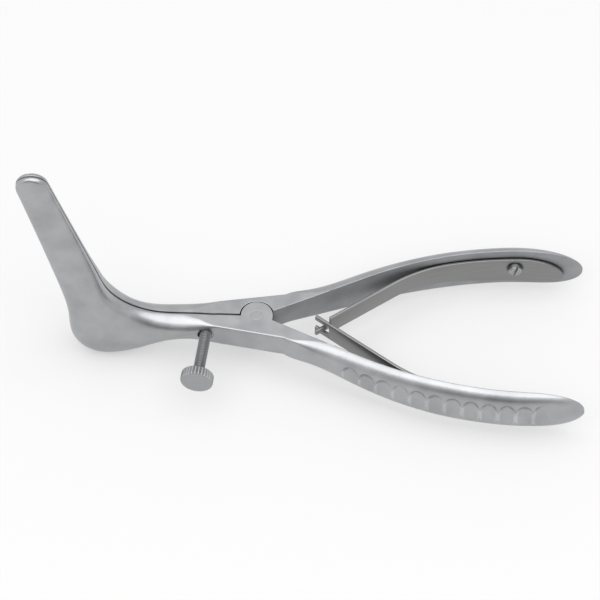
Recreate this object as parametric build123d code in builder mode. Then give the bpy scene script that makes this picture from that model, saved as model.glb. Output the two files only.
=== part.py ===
from build123d import *
import os
from math import asin, cos, degrees, pi, radians, sin, sqrt, tan

# Nasal speculum: two mirrored steel arms on a lap joint, a pair of leaf springs and a set screw.
# X runs from the blades to the handles, Z is the pivot axis and the front arm lies on the -Y side.
# The origin is on the pivot axis, at the underside of the joint. All sizes are in millimetres.

# Joint
joint_thickness = 7.6
lap_radius = 4.15
lap_clearance = 0.1
lap_relief = 0.22
lap_face_gap = 0.1
arm_gap = 0.4
pin_diameter = 3.0
pin_clearance = 0.03
block_back = 10.0
block_back_depth = 4.0
block_front = 8.2
block_front_depth = 3.7
crotch_x = 1.4
edge_round = 0.4

# Blade and neck, in the plane between the arms
bend_x = -36.0
bend_radius = 18.0
tip_x = -56.9
tip_z = 61.0
tip_radius = 4.15
tip_lean = 13.3
heel_start_x = -20.4
heel_x = -35.6
heel_back_x = -47.1
heel_z = -8.0
blade_root_x = -49.4
blade_root_z = 14.0
heel_radii = (18, 12, 9.4, 40)

# Handle, seen from above and from the side
handle_angle = 25.0
handle_spread = 22.3
handle_bend_radius = 104.0
handle_straight = 13.55
handle_low = -5.4
handle_high = 8.6
handle_depth = 3.3
handle_tip_z = 0.8
handle_upper_end = 17.4
handle_lower_end = 11.4
handle_end_power = 2.25
handle_thin_length = 20.0
handle_end_depth = 0.6
handle_flare_end = 58.0
handle_round_end = 19.0
handle_corner_depth_share = 0.85
handle_corner_width_share = 0.42
handle_section_count = 11
handle_end_turns = (15, 30, 44, 56, 66, 75, 82, 87)
trim_allowance = 0.5

# Finger grips on the outside of the handles
grip_count = 12
grip_start = 27.3
grip_pitch = 4.55
grip_radius = 6.0
grip_depth = 0.5

# Leaf springs
spring_thickness = 0.75
spring_pad_height = 0.3
spring_pad_diameter = 4.4
spring_width = 6.4
spring_z = 2.7
spring_bow_radius = 104.0
spring_lift_angle = 11.75
spring_angle = 35.6
spring_bend_radius = 40.0
spring_overhang = 2.8
spring_shoulder = 1.4
tongue_width = 1.8
fork_slot = 3.0
spring_foot_low = -3.2
spring_foot_length = 18.4
spring_foot_taper = 22.0
spring_end_gap = 5.0
spring_end_upper = 12.4
spring_end_lower = 3.0
spring_end_z = -0.6

# Spring screws
spring_screw_from_end = 18.0
spring_screw_diameter = 2.0
spring_screw_depth = 2.2
spring_screw_fit = 0.03
spring_screw_head_diameter = 3.6
spring_screw_head_height = 1.5
screw_slot_width = 0.6
screw_slot_depth = 0.8
screw_slot_turn = -15.0
screw_head_chamfer = 0.3

# Set screw
set_screw_x = -12.7
set_screw_tilt = 7.0
set_screw_diameter = 3.0
set_screw_clearance = 0.05
set_screw_tip = 1.6
set_screw_head_from = 16.8
set_screw_head_diameter = 8.5
set_screw_head_height = 2.5
set_screw_seat_diameter = 4.2
set_screw_seat_depth = 3.7
knurl_count = 28
knurl_depth = 0.35
set_screw_chamfer = 0.4

# Sections of the neck and blade: shares along the front and back edges, depth, corner shares
blade_stations = (
    (0, 0, block_back_depth, 0.1, 0.055),
    (0.055, 0.042, 3.9, 0.5, 0.25),
    (0.12, 0.095, 4.3, 0.88, 0.44),
    (0.20, 0.165, 4.3, 0.88, 0.43),
    (0.265, 0.245, 4.3, 0.82, 0.38),
    (0.32, 0.33, 4.5, 0.74, 0.3),
    (0.375, 0.415, 4.5, 0.68, 0.25),
    (0.435, 0.505, 4.0, 0.68, 0.24),
    (0.495, 0.585, 3.3, 0.7, 0.24),
    (0.57, 0.67, 2.6, 0.75, 0.25),
    (0.70, 0.77, 2.05, 0.78, 0.26),
    (0.82, 0.862, 1.8, 0.78, 0.27),
    (0.91, 0.932, 1.7, 0.78, 0.28),
    (0.965, 0.973, 1.65, 0.75, 0.29),
    (1, 1, 1.6, 0.75, 0.3),
)
tip_turns = (25, 45, 62, 75, 84)
tip_depth = 1.6
tip_corner_depth_share = 0.75
tip_corner_width_share = 0.3

mid_z = joint_thickness / 2
split_y = -arm_gap / 2
round_share = 0.5523

set_screw_out = Vector(-sin(radians(set_screw_tilt)), -cos(radians(set_screw_tilt)), 0)
set_screw_plane = Plane((set_screw_x, 0, mid_z), x_dir=(0, 0, 1), z_dir=set_screw_out)
screw_axis = Axis(set_screw_plane.origin, set_screw_out)


def half_section(width, depth, corner_depth, corner_width):
    """A section that is flat on the inside and rounded outside: x is its depth and y its width.
    The two corners are quarter ellipses, given as shares of the depth and of the width."""
    cd = corner_depth * depth
    cw = corner_width * width
    flat = depth - cd
    with BuildSketch() as section:
        with BuildLine():
            Polyline((flat, 0), (0, 0), (0, width), (flat, width))
            Bezier(
                (flat, width),
                (flat + round_share * cd, width),
                (depth, width - cw + round_share * cw),
                (depth, width - cw),
            )
            Line((depth, width - cw), (depth, cw))
            Bezier(
                (depth, cw),
                (depth, cw - round_share * cw),
                (flat + round_share * cd, 0),
                (flat, 0),
            )
        make_face()
    return section.sketch


def blade_plane(back, front):
    """The plane of a blade section, with x out of the front arm and y from its back to its front edge."""
    across = front - back
    origin = Vector(back.X, split_y, back.Z)
    return Plane(origin, x_dir=(0, -1, 0), z_dir=(-across.Z, 0, across.X))


# Edges of the blade and neck, in the plane between the arms
lean = Vector(-sin(radians(tip_lean)), 0, cos(radians(tip_lean)))
across_tip = Vector(cos(radians(tip_lean)), 0, sin(radians(tip_lean)))
tip_centre = Vector(tip_x, 0, tip_z)
front_end = tip_centre + across_tip * tip_radius
back_end = tip_centre - across_tip * tip_radius
with BuildLine(Plane.XZ) as front_edge:
    FilletPolyline(
        (-block_back, joint_thickness),
        (bend_x, joint_thickness),
        (front_end.X, front_end.Z),
        radius=bend_radius,
    )
with BuildLine(Plane.XZ) as back_edge:
    FilletPolyline(
        (-block_back, 0),
        (heel_start_x, 0),
        (heel_x, heel_z),
        (heel_back_x, heel_z),
        (blade_root_x, blade_root_z),
        (back_end.X, back_end.Z),
        radius=heel_radii,
    )

# Inner face of the front handle, seen from above
handle_corner_x = crotch_x + (handle_spread + split_y) / tan(radians(handle_angle))
handle_straight_x = handle_corner_x + handle_bend_radius * tan(radians(handle_angle / 2))
handle_end_x = handle_straight_x + handle_straight
with BuildLine() as handle_line:
    FilletPolyline(
        (crotch_x, split_y),
        (handle_corner_x, -handle_spread),
        (handle_end_x, -handle_spread),
        radius=handle_bend_radius,
    )


# Places of the handle's sections, along its inner face
handle_length = handle_line.wire().length
handle_end_start = handle_length - handle_upper_end
handle_step = (handle_end_start - block_front) / (handle_section_count - 1)
handle_places = [block_front + number * handle_step for number in range(handle_section_count)]
handle_places += [handle_end_start + handle_upper_end * sin(radians(turn)) for turn in handle_end_turns]


def smooth(value, start, end):
    """A share that rises smoothly from 0 at start to 1 at end."""
    t = min(max((value - start) / (end - start), 0), 1)
    return t * t * (3 - 2 * t)


def end_share(place, length):
    """The share of its height that an edge keeps near the end: a full quarter ellipse of the given length."""
    t = max((place - handle_length + length) / length, 0)
    return (1 - t**handle_end_power) ** (1 / handle_end_power)


def handle_edges(place):
    """Height of the lower and upper edge of the handle, which flares to the grip and rounds off at the end."""
    t = min((place - block_front) / (handle_flare_end - block_front), 1)
    low = handle_low * sin(t * pi / 2)
    high = joint_thickness + (handle_high - joint_thickness) * smooth(place, block_front, handle_flare_end)
    low = handle_tip_z + (low - handle_tip_z) * end_share(place, handle_lower_end)
    high = handle_tip_z + (high - handle_tip_z) * end_share(place, handle_upper_end)
    return low, high


def handle_depth_at(place):
    """Depth of the handle, which thins evenly from the joint to the grip and then more to its end."""
    t = min((place - block_front) / (handle_flare_end - block_front), 1)
    depth = block_front_depth + t * (handle_depth - block_front_depth)
    return handle_end_depth + (depth - handle_end_depth) * end_share(place, handle_thin_length) ** 2


def handle_place(place):
    """A point on the inner face of the front handle, and the direction out of its back."""
    inner = handle_line.wire()
    point = inner.position_at(place, position_mode=PositionMode.LENGTH)
    along = inner.tangent_at(place, position_mode=PositionMode.LENGTH)
    return point, Vector(along.Y, -along.X, 0)


# Block of the joint, flat on both faces, from the neck to the handle
block_corner = handle_line.wire().position_at(block_front, position_mode=PositionMode.LENGTH)
outwards = Vector(-sin(radians(handle_angle)), -cos(radians(handle_angle)), 0)
block_outer = block_corner + outwards * block_front_depth
with BuildPart() as block:
    with BuildSketch():
        with BuildLine():
            Polyline(
                (-block_back, split_y),
                (crotch_x, split_y),
                (block_corner.X, block_corner.Y),
                (block_outer.X, block_outer.Y),
                (-block_back, split_y - block_back_depth),
                close=True,
            )
        make_face()
    extrude(amount=joint_thickness)
    outer_face = block.faces().sort_by(Axis.Y)[0]
    fillet(outer_face.edges().filter_by(Axis.Z, reverse=True).sort_by(SortBy.LENGTH)[-2:], edge_round)

# Neck, heel and blade, lofted through sections that fan out round the bend
with BuildPart() as blade:
    for front_share, back_share, depth, corner_depth, corner_width in blade_stations:
        back = back_edge.wire() @ back_share
        front = front_edge.wire() @ front_share
        with BuildSketch(blade_plane(back, front)):
            add(half_section((front - back).length, depth, corner_depth, corner_width))
    for turn in tip_turns:
        centre = tip_centre + lean * tip_radius * sin(radians(turn))
        half_width = across_tip * tip_radius * cos(radians(turn))
        with BuildSketch(blade_plane(centre - half_width, centre + half_width)):
            depth = tip_depth * sqrt(cos(radians(turn)))
            add(half_section(2 * half_width.length, depth, tip_corner_depth_share, tip_corner_width_share))
    loft()

# Handle, lofted along its inner face, trimmed to it and scalloped outside for the fingers
with BuildPart() as handle:
    for place in handle_places:
        low, high = handle_edges(place)
        depth = handle_depth_at(place) + trim_allowance
        rounding = min((place - block_front) / (handle_round_end - block_front), 1)
        corner_depth = edge_round / depth + rounding * (handle_corner_depth_share - edge_round / depth)
        corner_width = edge_round / joint_thickness
        corner_width += rounding * (handle_corner_width_share - corner_width)
        point, outward = handle_place(place)
        origin = point - outward * trim_allowance + Vector(0, 0, low)
        with BuildSketch(Plane(origin, x_dir=outward, z_dir=Vector(outward.Y, -outward.X, 0))):
            add(half_section(high - low, depth, corner_depth, corner_width))
    loft()
    with BuildSketch():
        with BuildLine():
            add(handle_line.line)
            Polyline(
                (handle_end_x, -handle_spread),
                (handle_end_x + trim_allowance, -handle_spread),
                (handle_end_x + trim_allowance, 0),
                (crotch_x, 0),
                (crotch_x, split_y),
            )
        make_face()
    extrude(amount=2 * handle_high, both=True, mode=Mode.SUBTRACT)
    with BuildSketch():
        for number in range(grip_count):
            place = grip_start + number * grip_pitch
            point, outward = handle_place(place)
            crest = point + outward * (handle_depth_at(place) + grip_radius - grip_depth)
            with Locations((crest.X, crest.Y)):
                Circle(grip_radius)
    extrude(amount=2 * handle_high, both=True, mode=Mode.SUBTRACT)

# Seats of the spring screws, on the inner faces of the handles
seat, seat_outward = handle_place(handle_length - spring_screw_from_end)
front_seat = Plane(seat + Vector(0, 0, spring_z), x_dir=(0, 0, 1), z_dir=-seat_outward)
rear_seat = Plane(
    Vector(seat.X, -seat.Y, spring_z),
    x_dir=(0, 0, 1),
    z_dir=Vector(-seat_outward.X, seat_outward.Y, 0),
)

# Both arms start as the same forging
with BuildPart() as forging:
    add(block.part)
    add(blade.part)
    add(handle.part)

# Front arm: its half lap is the upper one, and it takes the set screw
with BuildPart() as front_arm:
    add(forging.part)
    with BuildSketch():
        with Locations((-lap_relief, 0), (lap_relief, 0)):
            Circle(lap_radius + lap_clearance)
    extrude(amount=mid_z + lap_face_gap / 2, mode=Mode.SUBTRACT)
    with BuildSketch(Plane.XY.offset(mid_z + lap_face_gap / 2)):
        Circle(lap_radius)
    extrude(amount=mid_z - lap_face_gap / 2)
    with BuildSketch():
        Circle(pin_diameter / 2)
    extrude(amount=joint_thickness, mode=Mode.SUBTRACT)
    with BuildSketch(set_screw_plane):
        Circle(set_screw_diameter / 2 + set_screw_clearance)
    extrude(amount=set_screw_head_from, both=True, mode=Mode.SUBTRACT)
    with BuildSketch(set_screw_plane.offset(set_screw_seat_depth)):
        Circle(set_screw_seat_diameter / 2)
    extrude(amount=block_back_depth, mode=Mode.SUBTRACT)
    with BuildSketch(front_seat):
        Circle(spring_screw_diameter / 2 + spring_screw_fit)
    extrude(amount=-spring_screw_depth - spring_screw_fit, mode=Mode.SUBTRACT)
front_arm.part.label = "front_arm"

# Rear arm: the mirrored forging, with the lower half lap
with BuildPart() as rear_arm:
    mirror(forging.part, about=Plane.XZ)
    with BuildSketch(Plane.XY.offset(mid_z - lap_face_gap / 2)):
        with Locations((-lap_relief, 0), (lap_relief, 0)):
            Circle(lap_radius + lap_clearance)
    extrude(amount=mid_z + lap_face_gap / 2, mode=Mode.SUBTRACT)
    with BuildSketch():
        Circle(lap_radius)
    extrude(amount=mid_z - lap_face_gap / 2)
    with BuildSketch():
        Circle(pin_diameter / 2 + pin_clearance)
    extrude(amount=joint_thickness, mode=Mode.SUBTRACT)
    with BuildSketch(rear_seat):
        Circle(spring_screw_diameter / 2 + spring_screw_fit)
    extrude(amount=-spring_screw_depth - spring_screw_fit, mode=Mode.SUBTRACT)
rear_arm.part.label = "rear_arm"

# Pivot pin, ground flush with both faces of the joint
with BuildPart() as pivot_pin:
    with BuildSketch():
        Circle(pin_diameter / 2)
    extrude(amount=joint_thickness)
pivot_pin.part.label = "pivot_pin"

# Middle line of the front spring, seen from above: along the handle, on a pad at its screw,
# then across to the other spring
spring_top = spring_z + spring_width / 2
spring_end_x = handle_end_x - spring_end_gap
spring_foot_full = spring_end_x - spring_foot_length
spring_foot_start = spring_foot_full - spring_foot_taper
seat_along = Vector(-seat_outward.Y, seat_outward.X, 0)
seat_angle = degrees(asin(-seat_along.Y))
spring_seat = seat - seat_outward * (spring_pad_height + spring_thickness / 2)
tail_angle = degrees((handle_end_x - seat.X) / spring_bow_radius)
with BuildLine() as leaf_line:
    JernArc(spring_seat, seat_along, spring_bow_radius, tail_angle)
    bow = JernArc(spring_seat, -seat_along, spring_bow_radius, seat_angle - spring_lift_angle)
    lift = JernArc(bow @ 1, bow % 1, spring_bend_radius, spring_lift_angle - spring_angle)
    cross = lift @ 1 - (lift % 1) * ((lift @ 1).Y / (lift % 1).Y)
    tip = cross + (lift % 1) * spring_overhang
    Line(lift @ 1, tip)

# Leaf spring before its end is cut: a bent strip with the outline of the real leaf
with BuildPart() as leaf:
    with BuildSketch(Plane.XY.offset(spring_foot_low)):
        with BuildLine():
            add(leaf_line.line)
            offset(amount=spring_thickness / 2, side=Side.BOTH)
        make_face()
    extrude(amount=spring_top - spring_foot_low)
    with BuildSketch(Plane.XZ):
        with BuildLine():
            Polyline(
                (spring_end_x - spring_end_upper, spring_top),
                (tip.X - spring_thickness, spring_top),
                (tip.X - spring_thickness, spring_z - spring_width / 2),
                (spring_foot_start, spring_z - spring_width / 2),
                (spring_foot_full, spring_foot_low),
                (spring_end_x - spring_end_lower, spring_foot_low),
            )
            EllipticalCenterArc(
                (spring_end_x - spring_end_lower, spring_end_z),
                spring_end_lower,
                spring_end_z - spring_foot_low,
                start_angle=-90,
                arc_size=90,
            )
            EllipticalCenterArc(
                (spring_end_x - spring_end_upper, spring_end_z),
                spring_end_upper,
                spring_top - spring_end_z,
                start_angle=0,
                arc_size=90,
            )
        make_face()
    extrude(amount=2 * handle_spread, both=True, mode=Mode.INTERSECT)
    with BuildSketch(front_seat.offset(spring_screw_fit)):
        Circle(spring_pad_diameter / 2)
    extrude(amount=spring_pad_height)
    with BuildSketch(front_seat):
        Circle(spring_screw_diameter / 2 + spring_screw_fit)
    extrude(amount=spring_pad_height + 2 * spring_thickness, mode=Mode.SUBTRACT)

# Front spring: two prongs, with a slot between them
with BuildPart() as front_spring:
    add(leaf.part)
    with BuildSketch(Plane.XZ):
        with Locations((cross.X + spring_shoulder, spring_z)):
            Rectangle(spring_shoulder + 2 * spring_overhang, fork_slot, align=(Align.MAX, Align.CENTER))
    extrude(amount=2 * handle_spread, both=True, mode=Mode.SUBTRACT)
front_spring.part.label = "front_spring"

# Rear spring: a tongue that passes through the slot
with BuildPart() as rear_spring:
    mirror(leaf.part, about=Plane.XZ)
    with BuildSketch(Plane.XZ):
        for side, edge in ((1, Align.MIN), (-1, Align.MAX)):
            with Locations((cross.X + spring_shoulder, spring_z + side * tongue_width / 2)):
                Rectangle(spring_shoulder + 2 * spring_overhang, spring_width, align=(Align.MAX, edge))
    extrude(amount=2 * handle_spread, both=True, mode=Mode.SUBTRACT)
rear_spring.part.label = "rear_spring"


def spring_screw(plane):
    """A slotted screw through a spring, with its head just off the spring and its shank in the handle."""
    head_from = spring_pad_height + spring_thickness + spring_screw_fit
    with BuildPart() as screw:
        with BuildSketch(plane.offset(-spring_screw_depth)):
            Circle(spring_screw_diameter / 2)
        extrude(amount=spring_screw_depth + head_from)
        with BuildSketch(plane.offset(head_from)):
            Circle(spring_screw_head_diameter / 2)
        extrude(amount=spring_screw_head_height)
        head_top = screw.faces().sort_by(Axis(plane.origin, plane.z_dir))[-1]
        chamfer(head_top.edges(), screw_head_chamfer)
        with BuildSketch(plane.offset(head_from + spring_screw_head_height)):
            Rectangle(2 * spring_screw_head_diameter, screw_slot_width, rotation=screw_slot_turn)
        extrude(amount=-screw_slot_depth, mode=Mode.SUBTRACT)
    return screw.part


with BuildPart() as front_spring_screw:
    add(spring_screw(front_seat))
front_spring_screw.part.label = "front_spring_screw"

with BuildPart() as rear_spring_screw:
    add(spring_screw(rear_seat))
rear_spring_screw.part.label = "rear_spring_screw"

# Set screw with a knurled head
with BuildPart() as set_screw:
    with BuildSketch(set_screw_plane.offset(set_screw_tip)):
        Circle(set_screw_diameter / 2)
    extrude(amount=set_screw_head_from - set_screw_tip)
    chamfer(set_screw.faces().sort_by(screw_axis)[0].edges(), set_screw_chamfer)
    with BuildSketch(set_screw_plane.offset(set_screw_head_from)):
        Circle(set_screw_head_diameter / 2)
        with PolarLocations(set_screw_head_diameter / 2, knurl_count):
            Rectangle(sqrt(2) * knurl_depth, sqrt(2) * knurl_depth, rotation=45, mode=Mode.SUBTRACT)
    extrude(amount=set_screw_head_height)
set_screw.part.label = "set_screw"

os.makedirs("parts", exist_ok=True)
export_step(front_arm.part, "parts/front_arm.step")
export_step(rear_arm.part, "parts/rear_arm.step")
export_step(pivot_pin.part, "parts/pivot_pin.step")
export_step(front_spring.part, "parts/front_spring.step")
export_step(rear_spring.part, "parts/rear_spring.step")
export_step(front_spring_screw.part, "parts/front_spring_screw.step")
export_step(rear_spring_screw.part, "parts/rear_spring_screw.step")
export_step(set_screw.part, "parts/set_screw.step")
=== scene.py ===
from math import cos, radians, sin

import bpy
import numpy as np
from mathutils import Matrix, Vector


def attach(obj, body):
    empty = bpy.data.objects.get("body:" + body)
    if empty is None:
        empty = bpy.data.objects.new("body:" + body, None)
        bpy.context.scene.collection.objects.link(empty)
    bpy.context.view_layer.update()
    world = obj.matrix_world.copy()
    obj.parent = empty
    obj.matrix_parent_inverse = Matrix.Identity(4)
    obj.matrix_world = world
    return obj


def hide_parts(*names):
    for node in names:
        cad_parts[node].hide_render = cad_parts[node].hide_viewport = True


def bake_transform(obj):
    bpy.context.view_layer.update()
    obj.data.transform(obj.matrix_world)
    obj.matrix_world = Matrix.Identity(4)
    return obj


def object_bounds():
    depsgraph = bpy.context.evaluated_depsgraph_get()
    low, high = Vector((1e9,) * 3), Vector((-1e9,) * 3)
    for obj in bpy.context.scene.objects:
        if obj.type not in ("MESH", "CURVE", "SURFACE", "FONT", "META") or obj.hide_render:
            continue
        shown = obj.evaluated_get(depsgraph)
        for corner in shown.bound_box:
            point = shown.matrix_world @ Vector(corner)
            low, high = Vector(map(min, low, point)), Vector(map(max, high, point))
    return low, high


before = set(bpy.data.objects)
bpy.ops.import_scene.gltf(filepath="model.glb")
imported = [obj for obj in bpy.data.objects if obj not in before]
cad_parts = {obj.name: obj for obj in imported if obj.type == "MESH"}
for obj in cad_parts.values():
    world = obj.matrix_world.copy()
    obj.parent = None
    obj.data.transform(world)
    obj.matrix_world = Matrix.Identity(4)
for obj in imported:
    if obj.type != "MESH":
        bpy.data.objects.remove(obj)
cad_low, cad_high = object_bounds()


# Arms: two mirrored stainless steel forgings, ground and polished along their blades and handles,
# then blasted with fine glass beads to a satin that doesn't glare under a surgeon's lamp.
# They are the CAD solids themselves, so only their finish is made here.
MM = 0.001
ARM_GREY = "#98999D"
ARM_PALE = "#B2B4B5"
ARM_SATIN = (0.29, 0.37)
POLISH_PATCH = 7 * MM
PATCH_RANGE = (0.2, 0.8)
POLISH_WAVE = 5 * MM
WAVE_DEPTH = 0.06 * MM
BLAST_GRAIN = 0.35 * MM
BLAST_DEPTH = 0.02 * MM
BLAST_STRENGTH = 0.12
INNER_FACING = (-0.6, -0.85)
GRIND_LENGTH = 12 * MM
GRIND_LINE = 0.3 * MM
GRIND_RELIEF = 1.5
PAINTED_SEAM_HALF = (0.45 * MM, 0.25 * MM)
NECK_RANGE = (-52 * MM, -38 * MM)
NECK_END = -4.3 * MM
GRIP_FROM = 21.5 * MM
GRIP_TO = 77 * MM
WALL_FACING = (0.16, 0.06)
OUTER_FACING = (0.5, 0.7)
HANDLE_TURN = (27.9 * MM, 71.85 * MM)
HANDLE_LEAN = 0.4226
RIDGE_TURN = (0.07, 0.125)
SCALLOP_TOP = 5.8 * MM
SCALLOP_ARCH = 15.5 * MM
SCALLOP_LINE = (1.0 * MM, 0.1 * MM)
SCALLOP_STRAY = 3.2 * MM
STRAY_PATCH = 2.6 * MM
EDGE_BREAK = 0.25 * MM
WORN_AND_HIGHLIT_EDGE = (0.97, 0.78)
BLADE_SPLIT = 1 * MM
CREVICE = 1.2 * MM
CREVICE_AIR = (0.65, 0.3)
WEDGE = 5 * MM
WEDGE_AIR = (0.7, 0.35)
DARKEST = 0.06


def linear(colour):
    """The linear RGBA of an sRGB hex colour: the standard curve, with its straight part near black."""
    parts = np.array([int(colour[i:i + 2], 16) for i in (1, 3, 5)]) / 255
    curve = np.where(parts <= 0.04045, parts / 12.92, ((parts + 0.055) / 1.055) ** 2.4)
    return (*curve.tolist(), 1.0)


def node(tree, kind, inputs=None, **settings):
    """Adds a node with its settings. An input given a socket is linked to it, and any other takes the value."""
    made = tree.nodes.new(kind)
    for name, value in settings.items():
        setattr(made, name, value)
    for name, value in (inputs or {}).items():
        if isinstance(value, bpy.types.NodeSocket):
            tree.links.new(value, made.inputs[name])
        else:
            made.inputs[name].default_value = value
    return made


def new_material(name):
    """An empty material: its node tree and the shader that its output shows."""
    made = bpy.data.materials.new(name)
    made.use_nodes = True
    made.node_tree.nodes.clear()
    shader = node(made.node_tree, "ShaderNodeBsdfPrincipled", {"Metallic": 1.0})
    node(made.node_tree, "ShaderNodeOutputMaterial", {"Surface": shader.outputs["BSDF"]})
    return made, made.node_tree, shader


# Bead-blasted stainless steel: soft broad highlights, faint cloudy patches where the polish under
# the blasting was uneven, and a grain. The real grain, under 0.1 mm, is drawn coarser so that it shows.
satin_steel, tree, shader = new_material("bead_blasted_stainless_steel")
coordinates = node(tree, "ShaderNodeTexCoord")
place = coordinates.outputs["Object"]
spot = node(tree, "ShaderNodeSeparateXYZ", {0: place})
facing = node(tree, "ShaderNodeSeparateXYZ", {0: coordinates.outputs["Normal"]})
patches = node(tree, "ShaderNodeTexNoise", {"Vector": place, "Scale": 1 / POLISH_PATCH, "Detail": 3.0})
grain = node(tree, "ShaderNodeTexNoise", {"Vector": place, "Scale": 1 / BLAST_GRAIN, "Detail": 2.0})
waves = node(tree, "ShaderNodeTexNoise", {"Vector": place, "Scale": 1 / POLISH_WAVE, "Detail": 1.0})
cloud = node(tree, "ShaderNodeMapRange", {
    "Value": patches.outputs["Fac"],
    "From Min": PATCH_RANGE[0],
    "From Max": PATCH_RANGE[1],
})
tone = node(tree, "ShaderNodeMix", {
    0: cloud.outputs["Result"],
    6: linear(ARM_GREY),
    7: linear(ARM_PALE),
}, data_type="RGBA")
satin = node(tree, "ShaderNodeMapRange", {
    "Value": cloud.outputs["Result"],
    "To Min": ARM_SATIN[0],
    "To Max": ARM_SATIN[1],
})

# The flat inner faces are only ground on a belt, which leaves them duller, with lines along the handle.
# Along the seam where the necks nearly touch, painted shade darkens them.
side = node(tree, "ShaderNodeMath", {0: spot.outputs["Y"]}, operation="SIGN")
outward = node(tree, "ShaderNodeMath", {0: side.outputs[0], 1: facing.outputs["Y"]}, operation="MULTIPLY")
inner = node(tree, "ShaderNodeMapRange", {
    "Value": outward.outputs[0],
    "From Min": INNER_FACING[0],
    "From Max": INNER_FACING[1],
})
belt = node(tree, "ShaderNodeMapping", {
    "Vector": place,
    "Scale": (1 / GRIND_LENGTH, 1 / GRIND_LENGTH, 1 / GRIND_LINE),
})
belt_lines = node(tree, "ShaderNodeTexNoise", {"Vector": belt.outputs["Vector"], "Scale": 1.0, "Detail": 3.0})
ground = node(tree, "ShaderNodeMath", {0: belt_lines.outputs["Fac"], 1: inner.outputs[0]}, operation="MULTIPLY")
apart = node(tree, "ShaderNodeMath", {0: spot.outputs["Y"]}, operation="ABSOLUTE")
# Painted shade: the faces next to the split between the necks are darkened, as the gap there is in shade
painted_seam_shade = node(tree, "ShaderNodeMapRange", {
    "Value": apart.outputs[0],
    "From Min": PAINTED_SEAM_HALF[0],
    "From Max": PAINTED_SEAM_HALF[1],
})
neck = node(tree, "ShaderNodeMapRange", {
    "Value": spot.outputs["X"],
    "From Min": NECK_RANGE[0],
    "From Max": NECK_RANGE[1],
})
before_lap = node(tree, "ShaderNodeMath", {0: spot.outputs["X"], 1: NECK_END}, operation="LESS_THAN")
for limit in (neck, before_lap):
    painted_seam_shade = node(tree, "ShaderNodeMath", {0: painted_seam_shade.outputs[0], 1: limit.outputs[0]}, operation="MULTIPLY")

# The scallops stand upright on the outside of the handles. How far a face turns along the handle, next to the
# handle's own lean there, says how near it is to a ridge. Near the ridges the steel is painted brighter, partly
# for the rub of hands and partly as a painted highlight, and a straying line of painted shade, a little rougher,
# lies under the arched top of each scallop.
upright = node(tree, "ShaderNodeMath", {0: facing.outputs["Z"]}, operation="ABSOLUTE")
scallop = node(tree, "ShaderNodeMapRange", {
    "Value": upright.outputs[0],
    "From Min": WALL_FACING[0],
    "From Max": WALL_FACING[1],
})
outside = node(tree, "ShaderNodeMapRange", {
    "Value": outward.outputs[0],
    "From Min": OUTER_FACING[0],
    "From Max": OUTER_FACING[1],
})
begun = node(tree, "ShaderNodeMath", {0: spot.outputs["X"], 1: GRIP_FROM}, operation="GREATER_THAN")
unended = node(tree, "ShaderNodeMath", {0: spot.outputs["X"], 1: GRIP_TO}, operation="LESS_THAN")
for limit in (outside, begun, unended):
    scallop = node(tree, "ShaderNodeMath", {0: scallop.outputs[0], 1: limit.outputs[0]}, operation="MULTIPLY")
leaning = node(tree, "ShaderNodeMapRange", {
    "Value": spot.outputs["X"],
    "From Min": HANDLE_TURN[0],
    "From Max": HANDLE_TURN[1],
    "To Min": -HANDLE_LEAN,
    "To Max": 0.0,
})
turned = node(tree, "ShaderNodeMath", {0: facing.outputs["X"], 1: leaning.outputs[0]}, operation="SUBTRACT")
square = node(tree, "ShaderNodeMath", {0: turned.outputs[0], 1: turned.outputs[0]}, operation="MULTIPLY")
# Painted highlight: faces near a scallop ridge are painted brighter, which also stands for the rub of hands
ridge_wear_and_highlight = node(tree, "ShaderNodeMapRange", {
    "Value": square.outputs[0],
    "From Min": RIDGE_TURN[0],
    "From Max": RIDGE_TURN[1],
})
ridge_wear_and_highlight = node(tree, "ShaderNodeMath", {0: ridge_wear_and_highlight.outputs[0], 1: scallop.outputs[0]}, operation="MULTIPLY")
stray = node(tree, "ShaderNodeTexNoise", {"Vector": place, "Scale": 1 / STRAY_PATCH, "Detail": 2.0})
height = node(tree, "ShaderNodeMath", {
    0: square.outputs[0],
    1: SCALLOP_ARCH,
    2: spot.outputs["Z"],
}, operation="MULTIPLY_ADD")
height = node(tree, "ShaderNodeMath", {
    0: stray.outputs["Fac"],
    1: SCALLOP_STRAY,
    2: height.outputs[0],
}, operation="MULTIPLY_ADD")
# Painted shade: a ragged dark line under the arched top of each scallop
painted_arch_shade = node(tree, "ShaderNodeMapRange", {
    "Value": height.outputs[0],
    "From Min": SCALLOP_TOP + SCALLOP_STRAY / 2 - SCALLOP_LINE[0],
    "From Max": SCALLOP_TOP + SCALLOP_STRAY / 2 - SCALLOP_LINE[1],
})
painted_arch_shade = node(tree, "ShaderNodeMath", {0: painted_arch_shade.outputs[0], 1: scallop.outputs[0]}, operation="MULTIPLY")

# Edges are broken by the blasting and painted brighter, partly for rubbing and partly as a painted highlight.
# They are where the rounded normal leaves the face's.
broken = node(tree, "ShaderNodeBevel", {"Radius": EDGE_BREAK}, samples=6)
face = node(tree, "ShaderNodeNewGeometry").outputs["Normal"]
agree = node(tree, "ShaderNodeVectorMath", {0: broken.outputs["Normal"], 1: face}, operation="DOT_PRODUCT")
rubbed_and_highlit_edge = node(tree, "ShaderNodeMapRange", {
    "Value": agree.outputs["Value"],
    "From Min": WORN_AND_HIGHLIT_EDGE[0],
    "From Max": WORN_AND_HIGHLIT_EDGE[1],
})

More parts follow.
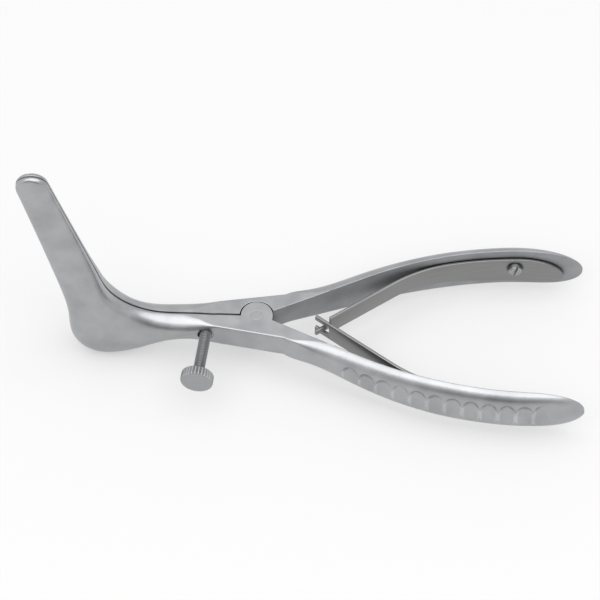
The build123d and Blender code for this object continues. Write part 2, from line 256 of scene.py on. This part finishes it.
# Painted shade darkens narrow places, such as between a leaf and its handle, by how closed in they are. The faces
# along the split between the blades are opened for each use, and the painted shade is left off them.
unsplit = node(tree, "ShaderNodeMath", {0: apart.outputs[0], 1: BLADE_SPLIT}, operation="GREATER_THAN")
painted_narrow_shades = []
for reach, air in ((CREVICE, CREVICE_AIR), (WEDGE, WEDGE_AIR)):
    open_air = node(tree, "ShaderNodeAmbientOcclusion", {"Distance": reach}, samples=8)
    closed = node(tree, "ShaderNodeMapRange", {
        "Value": open_air.outputs["AO"],
        "From Min": air[0],
        "From Max": air[1],
    })
    painted_narrow_shades.append(node(tree, "ShaderNodeMath", {
        0: closed.outputs[0],
        1: unsplit.outputs[0],
    }, operation="MULTIPLY"))
painted_crevice_shade, painted_wedge_shade = painted_narrow_shades

# How much brighter and how much rougher each of these makes the steel
bright, dull = 1.0, satin.outputs["Result"]
for mask, brighter, rougher in (
    (inner, -0.02, 0.44),
    # painted shade along the seam between the necks
    (painted_seam_shade, -0.55, 0.0),
    (ground, 0.2, 0.0),
    # painted highlight, and the rub of hands, on the scallop ridges
    (ridge_wear_and_highlight, 0.26, -0.06),
    # painted shade under the scallops' arched tops
    (painted_arch_shade, -0.36, 0.06),
    # rubbed edges, brightened partly as a painted highlight
    (rubbed_and_highlit_edge, 0.18, -0.08),
    # painted shade in narrow crevices
    (painted_crevice_shade, -0.6, 0.0),
    # painted shade in the wider wedge under each leaf
    (painted_wedge_shade, -0.42, 0.0),
):
    share = mask.outputs[0]
    bright = node(tree, "ShaderNodeMath", {0: share, 1: brighter, 2: bright}, operation="MULTIPLY_ADD").outputs[0]
    dull = node(tree, "ShaderNodeMath", {0: share, 1: rougher, 2: dull}, operation="MULTIPLY_ADD").outputs[0]
bright = node(tree, "ShaderNodeMath", {0: bright, 1: DARKEST}, operation="MAXIMUM").outputs[0]
steel = node(tree, "ShaderNodeVectorMath", {0: tone.outputs[2], "Scale": bright}, operation="SCALE")
tree.links.new(steel.outputs["Vector"], shader.inputs["Base Color"])
tree.links.new(dull, shader.inputs["Roughness"])
rough = node(tree, "ShaderNodeMath", {
    0: ground.outputs[0],
    1: GRIND_RELIEF,
    2: grain.outputs["Fac"],
}, operation="MULTIPLY_ADD")
hand_polish = node(tree, "ShaderNodeBump", {
    "Height": waves.outputs["Fac"],
    "Strength": 1.0,
    "Distance": WAVE_DEPTH,
    "Normal": broken.outputs["Normal"],
})
relief = node(tree, "ShaderNodeBump", {
    "Height": rough.outputs[0],
    "Strength": BLAST_STRENGTH,
    "Distance": BLAST_DEPTH,
    "Normal": hand_polish.outputs["Normal"],
})
tree.links.new(relief.outputs["Normal"], shader.inputs["Normal"])


def finish_node(name, material):
    """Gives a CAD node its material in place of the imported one."""
    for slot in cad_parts[name].material_slots:
        slot.link = "OBJECT"
        slot.material = material


finish_node("front_arm", satin_steel)
finish_node("rear_arm", satin_steel)


# Pivot pin: a plain steel rivet through the half laps, closed in the press and ground flush with them,
# so that only a faint ring shows in the satin.
finish_node("pivot_pin", satin_steel)


# Leaf springs: strips of cold-rolled spring steel, bent to follow the handles and then to cross between them.
# The front leaf ends in a fork and the rear one in a tongue that passes through it, so they can't come apart.
# Each is held by one screw.
LEAF_THICKNESS = 0.75 * MM
LEAF_EDGE = 0.14 * MM
LEAF_SEAT = (67.43 * MM, -21.53 * MM)
SEAT_TURN = radians(2.45)
BOW_RADIUS = 104 * MM
LIFT_TURN = radians(11.75)
BEND_RADIUS = 40 * MM
CROSS_TURN = radians(35.6)
CROSS_X = 17.67 * MM
TIP_REACH = 2.8 * MM
SHOULDER = 1.4 * MM
LEAF_MIDDLE = 2.7 * MM
LEAF_WIDTH = 6.4 * MM
FORK_SLOT = 3.0 * MM
TONGUE_WIDTH = 1.8 * MM
FOOT_LOW = -3.2 * MM
FOOT_TAPER = (40 * MM, 62 * MM)
TAIL_X = 80.4 * MM
TAIL_Z = -0.6 * MM
TAIL_UPPER = 12.4 * MM
TAIL_LOWER = 3.0 * MM
LEAF_REACH = 100 * MM
LEAF_POINTS = 20001
LEAF_SEARCH = (-20 * MM, 70 * MM, 9001)
LEAF_STEP = 0.4 * MM
LEAF_RING = 16
LEAF_SHARP = radians(50)
EDGE_SHARE = 0.4
TAIL_ZONE = 8 * MM
TAIL_ROWS = (0.02, 0.98, 24)
END_ROWS = 16


def leaf_line(along):
    """Middle line of the front leaf, from above, at distances along it from its screw towards its tip.
    The turn grows evenly with distance: slowly along the handle, faster round the bend, then not at all.
    A point is the sum of small steps in the direction of that turn."""
    to_lift = (LIFT_TURN - SEAT_TURN) * BOW_RADIUS
    to_cross = to_lift + (CROSS_TURN - LIFT_TURN) * BEND_RADIUS
    turns = (SEAT_TURN - LEAF_REACH / BOW_RADIUS, LIFT_TURN, CROSS_TURN, CROSS_TURN)
    fine = np.linspace(-LEAF_REACH, LEAF_REACH, LEAF_POINTS)
    turn = np.interp(fine, (-LEAF_REACH, to_lift, to_cross, LEAF_REACH), turns)
    step = fine[1] - fine[0]
    x = np.concatenate(([0], np.cumsum(-np.cos(turn[1:] / 2 + turn[:-1] / 2) * step)))
    y = np.concatenate(([0], np.cumsum(np.sin(turn[1:] / 2 + turn[:-1] / 2) * step)))
    x += LEAF_SEAT[0] - np.interp(0, fine, x)
    y += LEAF_SEAT[1] - np.interp(0, fine, y)
    return np.interp(along, fine, x), np.interp(along, fine, y), np.interp(along, fine, turn)


def leaf_edges(x):
    """Lower and upper edge of a leaf at its places along X: straight, with a deeper foot under the screw,
    and closed at the tail by two quarter ellipses."""
    upper = LEAF_MIDDLE + LEAF_WIDTH / 2
    lower = np.interp(x, FOOT_TAPER, (LEAF_MIDDLE - LEAF_WIDTH / 2, FOOT_LOW))
    over = np.clip((x - TAIL_X + TAIL_UPPER) / TAIL_UPPER, 0, 1)
    under = np.clip((x - TAIL_X + TAIL_LOWER) / TAIL_LOWER, 0, 1)
    return (
        TAIL_Z + (lower - TAIL_Z) * np.sqrt(1 - under**2),
        TAIL_Z + (upper - TAIL_Z) * np.sqrt(1 - over**2),
    )


def tube_faces(rows, ring, turned_over):
    """Faces of a closed tube of rings: a quad between neighbours in each pair of rings, and a cap at each end.
    They are turned over where the rings run the other way round."""
    number = np.arange(rows * ring).reshape(rows, ring)
    after = np.roll(number, -1, axis=1)
    quads = np.stack((number[:-1], number[1:], after[1:], after[:-1]), axis=-1).reshape(-1, 4).tolist()
    faces = quads + [number[0].tolist(), number[-1, ::-1].tolist()]
    return [face[::-1] for face in faces] if turned_over else faces


def strip(along, edges, side):
    """A closed strip: a rectangle with rounded corners, carried along the middle line of a leaf.
    side is 1 for the front leaf and -1 for the rear one, its mirror image. Also gives the way along
    and the way round of each point, for the rolling marks."""
    x, y, turn = leaf_line(along)
    lower, upper = edges(x)
    edge = np.minimum(LEAF_EDGE, (upper - lower) * EDGE_SHARE)[:, None]
    angle = np.linspace(0, 2 * np.pi, LEAF_RING, endpoint=False) + np.pi / LEAF_RING
    half = LEAF_THICKNESS / 2 - edge
    across = np.sign(np.cos(angle)) * half + edge * np.cos(angle)
    middle = (upper + lower)[:, None] / 2
    high = np.sign(np.sin(angle)) * ((upper - lower)[:, None] / 2 - edge) + edge * np.sin(angle)
    points = np.stack((
        x[:, None] + across * np.sin(turn)[:, None],
        side * (y[:, None] + across * np.cos(turn)[:, None]),
        middle + high,
    ), axis=-1)
    ways = np.stack(np.broadcast_arrays(along[:, None], middle + high), axis=-1)
    return points.reshape(-1, 3), tube_faces(*points.shape[:2], side < 0), ways.reshape(-1, 2)


def new_piece(name, parts, material, sharp):
    """One mesh object from (points, faces, ways) parts, smooth but for edges sharper than the given angle,
    with the ways as its UV map in metres."""
    points, faces, ways, start = [], [], [], 0
    for part_points, part_faces, part_ways in parts:
        points.append(part_points)
        faces += [[start + corner for corner in face] for face in part_faces]
        ways.append(part_ways)
        start += len(part_points)
    mesh = bpy.data.meshes.new(name)
    mesh.from_pydata(np.concatenate(points).tolist(), [], faces)
    corner_points = np.empty(len(mesh.loops), dtype=np.int32)
    mesh.loops.foreach_get("vertex_index", corner_points)
    layer = mesh.uv_layers.new(name="ways")
    layer.data.foreach_set("uv", np.concatenate(ways)[corner_points].astype(np.float32).ravel())
    mesh.polygons.foreach_set("use_smooth", np.ones(len(mesh.polygons), dtype=bool))
    mesh.set_sharp_from_angle(angle=sharp)
    mesh.materials.append(material)
    made = bpy.data.objects.new(name, mesh)
    bpy.context.collection.objects.link(made)
    return made


# Cold-rolled spring steel: a little darker than the arms, with fine lines along the strip from the rolls.
# The real lines are about 0.05 mm apart and are drawn wider so that they show. A ring of painted shade darkens
# the leaf round the screw's head.
SPRING_GREY = "#7E7E7E"
SPRING_PALE = "#949493"
ROLL_LINE = 0.3 * MM
ROLL_LENGTH = 14 * MM
ROLL_DEPTH = 0.02 * MM
ROLL_STRENGTH = 0.2
SPRING_SATIN = 0.36
SHADE_RING = (2.0 * MM, 2.5 * MM)
RING_SHADE = 0.3
spring_steel, tree, shader = new_material("cold_rolled_spring_steel")
ways = node(tree, "ShaderNodeUVMap", uv_map="ways").outputs["UV"]
rolled = node(tree, "ShaderNodeMapping", {"Vector": ways, "Scale": (1 / ROLL_LENGTH, 1 / ROLL_LINE, 1.0)})
lines = node(tree, "ShaderNodeTexNoise", {"Vector": rolled.outputs["Vector"], "Scale": 1.0, "Detail": 3.0})
tone = node(tree, "ShaderNodeMix", {
    0: lines.outputs["Fac"],
    6: linear(SPRING_GREY),
    7: linear(SPRING_PALE),
}, data_type="RGBA")
# Painted shade: a dark ring on the leaf round the screw's head
from_screw = node(tree, "ShaderNodeVectorMath", {0: ways, 1: (0.0, LEAF_MIDDLE, 0.0)}, operation="DISTANCE")
painted_shade = node(tree, "ShaderNodeMapRange", {
    "Value": from_screw.outputs["Value"],
    "From Min": SHADE_RING[0],
    "From Max": SHADE_RING[1],
    "To Min": RING_SHADE,
    "To Max": 1.0,
})
painted_shade_tone = node(tree, "ShaderNodeVectorMath", {
    0: tone.outputs[2],
    "Scale": painted_shade.outputs["Result"],
}, operation="SCALE")
tree.links.new(painted_shade_tone.outputs["Vector"], shader.inputs["Base Color"])
shader.inputs["Roughness"].default_value = SPRING_SATIN
relief = node(tree, "ShaderNodeBump", {
    "Height": lines.outputs["Fac"],
    "Strength": ROLL_STRENGTH,
    "Distance": ROLL_DEPTH,
})
tree.links.new(relief.outputs["Normal"], shader.inputs["Normal"])

# Distances along the leaf of its tail, the shoulder behind the fork or tongue, the crossing and the tip
way = np.linspace(*LEAF_SEARCH)
way_x = leaf_line(way)[0]
tail, shoulder, crossing = np.interp((-TAIL_X, -CROSS_X - SHOULDER, -CROSS_X), -way_x, way)
tip = crossing + TIP_REACH
body_rows = np.arange(tail + TAIL_ZONE, shoulder, LEAF_STEP)
tail_rows = tail + (body_rows[0] - tail) * (1 - np.cos(np.linspace(*TAIL_ROWS) * np.pi / 2))
leaf_rows = np.concatenate((tail_rows, body_rows, [shoulder]))
end_rows = np.linspace(shoulder - LEAF_EDGE, tip, END_ROWS)


def between(lower, upper):
    """Edges of a straight strip, the same all along it."""
    return lambda x: (np.full_like(x, lower), np.full_like(x, upper))


leaf_low, leaf_high = LEAF_MIDDLE - LEAF_WIDTH / 2, LEAF_MIDDLE + LEAF_WIDTH / 2
slot_low, slot_high = LEAF_MIDDLE - FORK_SLOT / 2, LEAF_MIDDLE + FORK_SLOT / 2
front_leaf = new_piece("front_leaf_spring", [
    strip(leaf_rows, leaf_edges, 1),
    strip(end_rows, between(leaf_low, slot_low), 1),
    strip(end_rows, between(slot_high, leaf_high), 1),
], spring_steel, LEAF_SHARP)
rear_leaf = new_piece("rear_leaf_spring", [
    strip(leaf_rows, leaf_edges, -1),
    strip(end_rows, between(LEAF_MIDDLE - TONGUE_WIDTH / 2, LEAF_MIDDLE + TONGUE_WIDTH / 2), -1),
], spring_steel, LEAF_SHARP)

bend_x, bend_y, _ = leaf_line((LIFT_TURN - SEAT_TURN) * BOW_RADIUS)
for leaf, cad_name, held_by, other, side in (
    (front_leaf, "front_spring", "front", "rear", 1),
    (rear_leaf, "rear_spring", "rear", "front", -1),
):
    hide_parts(cad_name)
    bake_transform(leaf)


# Spring screws: small slotted steel screws, turned from bar, that hold each leaf to its handle.
# Their heads are left as they came off the lathe.
LATHE_GREY = "#8F9192"
LATHE_PALE = "#ABADAE"
LATHE_RING = 0.22 * MM
LATHE_DEPTH = 0.02 * MM
LATHE_STRENGTH = 0.15
LATHE_SATIN = (0.26, 0.4)
LATHE_EDGE = 0.1 * MM
SPRING_SCREW_FOOT = (67.43 * MM, 0.0, 2.7 * MM)
SPRING_SCREW_WAY = (0.0, 1.0, 0.0)


def turned_steel(name, point, way):
    """Steel turned on a lathe, with rings drawn by noise on a place's distance from the axis, which is the length
    of the cross product of its offset and the axis. The real rings are finer, and are drawn this wide so that
    they show. Gives the material, its tree and shader, and the sockets of its tone and of that distance."""
    made, tree, shader = new_material(name)
    place = node(tree, "ShaderNodeTexCoord").outputs["Object"]
    offset = node(tree, "ShaderNodeVectorMath", {0: place, 1: point}, operation="SUBTRACT")
    across = node(tree, "ShaderNodeVectorMath", {
        0: offset.outputs["Vector"],
        1: way,
    }, operation="CROSS_PRODUCT")
    away = node(tree, "ShaderNodeVectorMath", {0: across.outputs["Vector"]}, operation="LENGTH")
    rings = node(tree, "ShaderNodeTexNoise", {
        "W": away.outputs["Value"],
        "Scale": 1 / LATHE_RING,
        "Detail": 2.0,
    }, noise_dimensions="1D")
    tone = node(tree, "ShaderNodeMix", {
        0: rings.outputs["Fac"],
        6: linear(LATHE_GREY),
        7: linear(LATHE_PALE),
    }, data_type="RGBA")
    tree.links.new(tone.outputs[2], shader.inputs["Base Color"])
    satin = node(tree, "ShaderNodeMapRange", {
        "Value": rings.outputs["Fac"],
        "To Min": LATHE_SATIN[0],
        "To Max": LATHE_SATIN[1],
    })
    tree.links.new(satin.outputs["Result"], shader.inputs["Roughness"])
    broken = node(tree, "ShaderNodeBevel", {"Radius": LATHE_EDGE}, samples=6)
    relief = node(tree, "ShaderNodeBump", {
        "Height": rings.outputs["Fac"],
        "Strength": LATHE_STRENGTH,
        "Distance": LATHE_DEPTH,
        "Normal": broken.outputs["Normal"],
    })
    tree.links.new(relief.outputs["Normal"], shader.inputs["Normal"])
    return made, tree, shader, tone.outputs[2], away.outputs["Value"]


spring_screw_steel = turned_steel("turned_steel_of_spring_screws", SPRING_SCREW_FOOT, SPRING_SCREW_WAY)[0]
finish_node("front_spring_screw", spring_screw_steel)
finish_node("rear_spring_screw", spring_screw_steel)


# Set screw: turned from steel bar, threaded along its shank, with a straight-knurled head. Its tip pushes the
# rear arm away and so holds the blades open at any width.
SCREW_TILT = radians(7)
SCREW_FOOT = np.array((-12.7, 0, 3.8)) * MM
SCREW_WAY = np.array((-sin(SCREW_TILT), -cos(SCREW_TILT), 0))
SCREW_SIDE = np.array((cos(SCREW_TILT), -sin(SCREW_TILT), 0))
SHANK_RADIUS = 1.5 * MM
SHANK_TIP = 1.6 * MM
TIP_CHAMFER = 0.4 * MM
THREAD_PITCH = 0.5 * MM
THREAD_DEPTH = 0.25 * MM
THREAD_END = 15.6 * MM
THREAD_ROWS = 12
THREAD_SHADE = (-0.58, -0.22)
SHANK_RING = 40
HEAD_FROM = 16.8 * MM
HEAD_TO = 19.3 * MM
HEAD_RADIUS = 4.25 * MM
HEAD_EDGE = 0.3 * MM
HEAD_DISH = 0.12 * MM
HEAD_ROOT = 0.75 * MM
HEAD_MIDDLE = 0.03
EDGE_ROWS = 6
FACE_ROWS = 12
KNURL_COUNT = 28
KNURL_DEPTH = 0.35 * MM
KNURL_PLACES = (0, 0.12, 0.24, 0.36, 0.42, 0.5, 0.58, 0.64, 0.76, 0.88)
SCREW_SHARP = radians(42)


def turned_form(way, radius, angle):
    """A closed form round the set screw's axis: a ring for each way along the axis, each point at its radius
    and angle. Also gives the way and the length round the ring, as the other pieces have."""
    way, radius, angle = np.broadcast_arrays(way, radius, angle)
    round_axis = np.cos(angle)[..., None] * SCREW_SIDE + np.sin(angle)[..., None] * (0, 0, 1)
    points = SCREW_FOOT + way[..., None] * SCREW_WAY + radius[..., None] * round_axis
    ways = np.stack((way, angle * SHANK_RADIUS), axis=-1)
    return points.reshape(-1, 3), tube_faces(*points.shape[:2], True), ways.reshape(-1, 2)


# Shank: the radius falls and rises as a cosine of the turns along the axis less the turn round it, which
# makes the thread a helix. It runs out towards the head, and the tip is chamfered.
shank_way = np.arange(SHANK_TIP, HEAD_FROM + HEAD_EDGE, THREAD_PITCH / THREAD_ROWS)[:, None]
shank_angle = np.linspace(0, 2 * np.pi, SHANK_RING, endpoint=False)[None, :]
helix = np.cos(2 * np.pi * shank_way / THREAD_PITCH - shank_angle)
run_out = np.clip((THREAD_END - shank_way) / THREAD_PITCH, 0, 1)
shank_radius = SHANK_RADIUS - THREAD_DEPTH * run_out * (0.5 - 0.5 * helix)
shank_radius = np.minimum(shank_radius, SHANK_RADIUS - TIP_CHAMFER + shank_way - SHANK_TIP)

# Head: a turned profile with rounded edges and a slightly dished face, cut by the knurl to a saw of V grooves
quarter = np.linspace(0, np.pi / 2, EDGE_ROWS)
head_way = np.concatenate((
    [HEAD_FROM],
    HEAD_FROM + HEAD_EDGE * (1 - np.cos(quarter)),
    HEAD_TO - HEAD_EDGE * (1 - np.sin(quarter)),
    HEAD_TO - HEAD_DISH * np.linspace(0, 1, FACE_ROWS)[1:] ** 2,
))
head_profile = np.concatenate((
    [HEAD_ROOT],
    HEAD_RADIUS - HEAD_EDGE * (1 - np.sin(quarter)),
    HEAD_RADIUS - HEAD_EDGE * (1 - np.cos(quarter)),
    (HEAD_RADIUS - HEAD_EDGE) * np.linspace(1, HEAD_MIDDLE, FACE_ROWS)[1:],
))
tooth = np.array(KNURL_PLACES)
tooth_turn = 2 * np.pi / KNURL_COUNT
head_angle = ((np.arange(KNURL_COUNT)[:, None] + tooth) * tooth_turn).ravel()
from_groove = np.tile(np.minimum(tooth, 1 - tooth), KNURL_COUNT) * tooth_turn * HEAD_RADIUS
knurled = HEAD_RADIUS - np.clip(KNURL_DEPTH - from_groove, 0, None)
head_radius = np.minimum(head_profile[:, None], knurled[None, :])

# Painted shade darkens the shank, most of all at the foot of the thread
set_screw_steel, tree, shader, tone, away = turned_steel(
    "turned_steel_of_set_screw", tuple(SCREW_FOOT), tuple(SCREW_WAY),
)
ways = node(tree, "ShaderNodeUVMap", uv_map="ways").outputs["UV"]
along = node(tree, "ShaderNodeSeparateXYZ", {0: ways})
on_shank = node(tree, "ShaderNodeMath", {
    0: along.outputs["X"],
    1: HEAD_FROM - 0.01 * MM,
}, operation="LESS_THAN")
painted_shade = node(tree, "ShaderNodeMapRange", {
    "Value": away,
    "From Min": SHANK_RADIUS - THREAD_DEPTH,
    "From Max": SHANK_RADIUS,
    "To Min": THREAD_SHADE[0],
    "To Max": THREAD_SHADE[1],
})
shade = node(tree, "ShaderNodeMath", {
    0: on_shank.outputs[0],
    1: painted_shade.outputs["Result"],
    2: 1.0,
}, operation="MULTIPLY_ADD")
painted_shade_tone = node(tree, "ShaderNodeVectorMath", {0: tone, "Scale": shade.outputs[0]}, operation="SCALE")
tree.links.new(painted_shade_tone.outputs["Vector"], shader.inputs["Base Color"])
set_screw = new_piece("knurled_set_screw", [
    turned_form(shank_way, shank_radius, shank_angle),
    turned_form(head_way[:, None], head_radius, head_angle[None, :]),
], set_screw_steel, SCREW_SHARP)
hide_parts("set_screw")
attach(set_screw, "screw")


# Studio: a white table, lit a little from below, in a white tent with a large soft light overhead. The tent
# is open low towards the camera, so a darker room shows there, under a brighter panel.
WHITE = (1.0, 1.0, 1.0, 1.0)
FLOOR_PALE = "#9E9E9E"
FLOOR_MATT = 0.9
FLOOR_GLOW = 0.43
FLOOR_HALF = 4.0
FLOOR_GAP = 0.02 * MM
TENT_GLOW = 0.92
TENT_OPENING = (0.0, -0.995, 0.1)
OPENING_EDGE = (0.78, 0.97)
ROOM_GLOW = 0.22
TENT_PANEL = (0.0, -0.743, 0.669)
PANEL_EDGE = (0.88, 0.97)
PANEL_GLOW = 0.42
SOFTBOX_PLACE = (0.0, -0.17, 0.8)
SOFTBOX_SIZE = (1.5, 0.98)
SOFTBOX_WATTS = 7.6

floor_z = cad_low.z - FLOOR_GAP
corners = np.array([(-1, -1, 0), (1, -1, 0), (1, 1, 0), (-1, 1, 0)]) * FLOOR_HALF + (0, 0, floor_z)
floor_mesh = bpy.data.meshes.new("table")
floor_mesh.from_pydata(corners.tolist(), [], [(0, 1, 2, 3)])
floor = bpy.data.objects.new("table", floor_mesh)
bpy.context.collection.objects.link(floor)
white_board, tree, shader = new_material("matt_white_board")
shader.inputs["Metallic"].default_value = 0.0
shader.inputs["Base Color"].default_value = linear(FLOOR_PALE)
shader.inputs["Roughness"].default_value = FLOOR_MATT
shader.inputs["Emission Color"].default_value = WHITE
shader.inputs["Emission Strength"].default_value = FLOOR_GLOW
floor_mesh.materials.append(white_board)

world = bpy.data.worlds.new("white_tent")
world.use_nodes = True
bpy.context.scene.world = world
tree = world.node_tree
tent = tree.nodes["Background"]
tent.inputs["Color"].default_value = WHITE
direction = node(tree, "ShaderNodeTexCoord").outputs["Generated"]
towards = node(tree, "ShaderNodeVectorMath", {0: direction, 1: TENT_OPENING}, operation="DOT_PRODUCT")
glow = node(tree, "ShaderNodeMapRange", {
    "Value": towards.outputs["Value"],
    "From Min": OPENING_EDGE[0],
    "From Max": OPENING_EDGE[1],
    "To Min": TENT_GLOW,
    "To Max": ROOM_GLOW,
})
towards = node(tree, "ShaderNodeVectorMath", {0: direction, 1: TENT_PANEL}, operation="DOT_PRODUCT")
panel = node(tree, "ShaderNodeMapRange", {
    "Value": towards.outputs["Value"],
    "From Min": PANEL_EDGE[0],
    "From Max": PANEL_EDGE[1],
    "To Max": PANEL_GLOW,
})
glows = node(tree, "ShaderNodeMath", {0: glow.outputs["Result"], 1: panel.outputs["Result"]}, operation="ADD")
tree.links.new(glows.outputs[0], tent.inputs["Strength"])

softbox_light = bpy.data.lights.new("overhead_softbox", "AREA")
softbox_light.shape = "RECTANGLE"
softbox_light.size, softbox_light.size_y = SOFTBOX_SIZE
softbox_light.energy = SOFTBOX_WATTS
softbox = bpy.data.objects.new("overhead_softbox", softbox_light)
softbox.location = SOFTBOX_PLACE
bpy.context.collection.objects.link(softbox)
bpy.context.scene.view_settings.view_transform = "Standard"

# Camera: a long lens above the front, turned a little, so that the joint's top comes where the photograph
# has it and the instrument fills the picture from side to side.
VIEW_TILT = 35.0
VIEW_ROLL = 1.75
VIEW_DISTANCE = 1.2
JOINT_TOP = Vector((0, 0, 7.6 * MM))
JOINT_PIXEL = (256.9, 315.0)
PIXEL_SIZE = 0.26 * MM
PICTURE = 600
SENSOR = 36.0
NEAREST = 0.05

tilt, roll = radians(VIEW_TILT), radians(VIEW_ROLL)
back = Vector((0, -sin(tilt), cos(tilt)))
level_up = Vector((0, cos(tilt), sin(tilt)))
right = Vector((cos(roll), 0, 0)) + level_up * sin(roll)
up = Vector((-sin(roll), 0, 0)) + level_up * cos(roll)
across = (JOINT_PIXEL[0] - PICTURE / 2) * PIXEL_SIZE
down = (JOINT_PIXEL[1] - PICTURE / 2) * PIXEL_SIZE
stand = JOINT_TOP - right * across + up * down + back * VIEW_DISTANCE
camera_data = bpy.data.cameras.new("camera")
camera_data.sensor_width = SENSOR
camera_data.lens = VIEW_DISTANCE / PIXEL_SIZE / PICTURE * SENSOR
camera_data.clip_start = NEAREST
camera = bpy.data.objects.new("camera", camera_data)
camera.matrix_world = Matrix.Translation(stand) @ Matrix((right, up, back)).transposed().to_4x4()
bpy.context.collection.objects.link(camera)
bpy.context.scene.camera = camera
